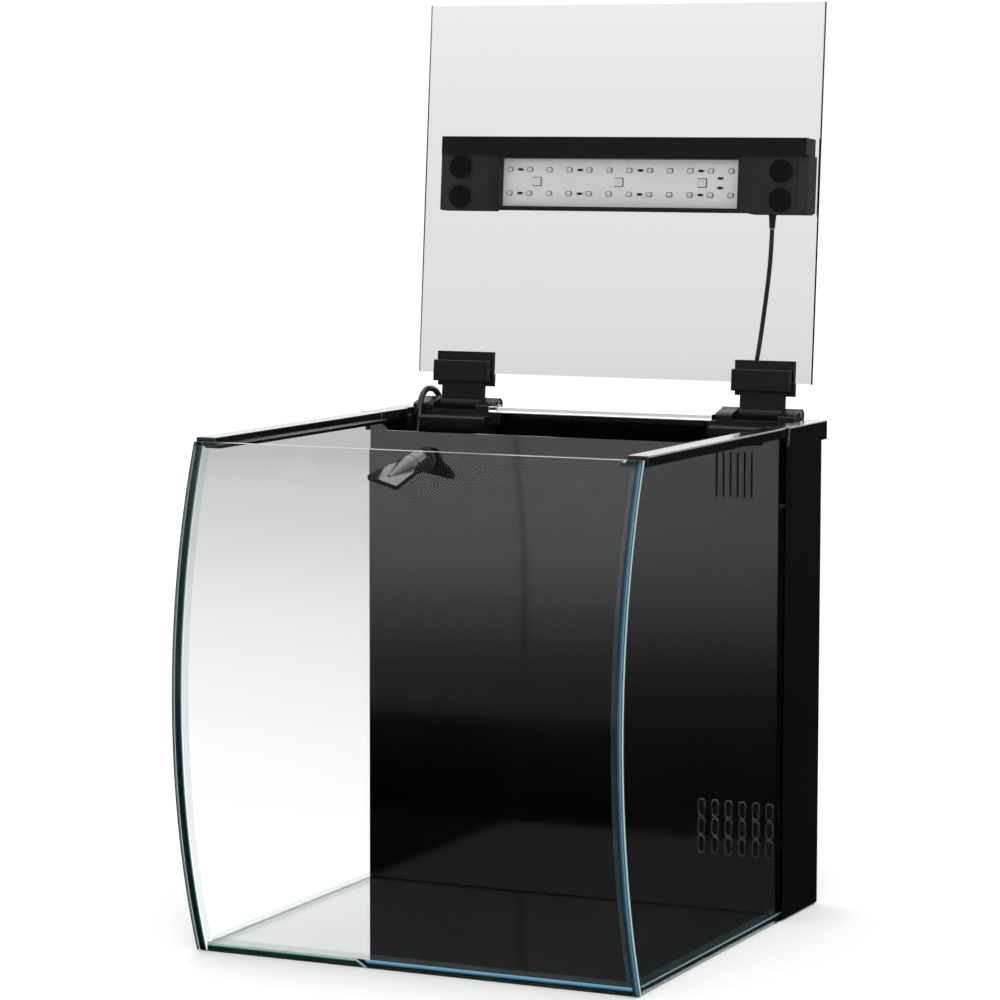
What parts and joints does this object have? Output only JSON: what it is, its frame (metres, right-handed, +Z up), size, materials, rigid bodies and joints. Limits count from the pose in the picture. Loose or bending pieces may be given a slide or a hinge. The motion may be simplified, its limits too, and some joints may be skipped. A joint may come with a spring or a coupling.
{
  "type": "glass aquarium tank",
  "caption": "Bow-front glass aquarium with a hinged glass lid, an LED lamp on the lid and a black filter chamber at the back.",
  "frame": {"origin": "centre of the glass box's underside", "axes": "+X to the right seen from the front, +Y to the back, +Z up; the bow-front pane faces -Y"},
  "size_m": [0.3082, 0.4164, 0.5951],
  "materials": {
    "tank_glass": "polished, clear with dark green edges",
    "lid_glass": "polished, clear",
    "silicone": "clear, glossy",
    "black_acrylic": "glossy",
    "black_plastic": "satin gloss",
    "steel": "satin",
    "lamp_black": "satin gloss",
    "led_board": "satin white with lamps",
    "black_rubber": "satin",
    "cord_rubber": "satin",
    "pump_plastic": "satin",
    "rotor": "satin",
    "hose": "satin",
    "nozzle_gloss": "glossy",
    "foam": "open-cell foam",
    "ceramic_media": "porous, matte"
  },
  "bodies": {
    "tank": {"front_pane": "tank_glass", "left_pane": "tank_glass", "right_pane": "tank_glass", "back_pane": "tank_glass", "bottom_pane": "tank_glass", "rear_glass_strip": "lid_glass", "seam_front_left": "silicone", "seam_front_right": "silicone", "seam_bottom": "silicone", "partition_panel": "black_acrylic", "divider_right": "black_acrylic", "divider_left": "black_acrylic", "left_rim": "black_plastic", "right_rim": "black_plastic", "corner_cap_left": "black_plastic", "corner_cap_right": "black_plastic", "rear_shroud": "black_plastic", "hinge_base_left": "black_plastic", "hinge_base_right": "black_plastic", "hinge_pin_left": "steel", "hinge_pin_right": "steel", "impeller_shaft": "steel", "pump_strain_relief": "black_rubber", "lamp_cord": "cord_rubber", "lamp_cord_coil": "cord_rubber", "pump_cord": "cord_rubber", "pump_cord_coil": "cord_rubber", "lamp_adapter": "pump_plastic", "pump_plug": "pump_plastic", "pump_body": "pump_plastic", "pump_intake_cover": "pump_plastic", "return_elbow": "pump_plastic", "bulkhead_ring": "pump_plastic", "bulkhead_nut": "pump_plastic", "return_hose": "hose"},
    "lid": {"hinge_arm_left": "black_plastic", "hinge_arm_right": "black_plastic", "clamp_plate_left": "black_plastic", "clamp_plate_right": "black_plastic", "clamp_screw_left_1": "steel", "clamp_screw_left_2": "steel", "clamp_screw_right_1": "steel", "clamp_screw_right_2": "steel", "lid_glass": "lid_glass", "lamp_housing": "lamp_black", "led_board": "led_board", "suction_cup_1": "black_rubber", "suction_cup_2": "black_rubber", "suction_cup_3": "black_rubber", "suction_cup_4": "black_rubber", "lamp_strain_relief": "black_rubber"},
    "nozzle_collar": {"nozzle_collar": "nozzle_gloss"},
    "nozzle_spout": {"nozzle_spout": "nozzle_gloss"},
    "impeller": {"impeller": "rotor"},
    "basket": {"media_basket": "pump_plastic", "bio_media": "ceramic_media", "sponge_pad": "foam"},
    "sponge": {"filter_sponge": "foam"}
  },
  "joints": [
    {"name": "lid_hinge", "type": "hinge", "parent": "tank", "child": "lid", "pos_m": [0, 0.151, 0.3238], "axis": [-1, 0, 0], "range_deg": [-94.5, 0]},
    {"name": "nozzle_pan", "type": "hinge", "parent": "tank", "child": "nozzle_collar", "pos_m": [-0.103, 0.071, 0.2912], "axis": [0, 0, 1], "range_deg": [-6, 20]},
    {"name": "nozzle_twist", "type": "hinge", "parent": "nozzle_collar", "child": "nozzle_spout", "pos_m": [-0.103, 0.071, 0.2912], "axis": [-0.3193, -0.8773, -0.3584], "range_deg": [-30, 30]},
    {"name": "impeller_spin", "type": "hinge", "parent": "tank", "child": "impeller", "pos_m": [-0.098, 0.103, 0.03], "axis": [1, 0, 0], "continuous": true},
    {"name": "basket_lift", "type": "slide", "parent": "tank", "child": "basket", "axis": [0, 0, 1], "range_m": [0, 0.2]},
    {"name": "sponge_lift", "type": "slide", "parent": "tank", "child": "sponge", "axis": [0, 0, 1], "range_m": [0, 0.2]}
  ]
}
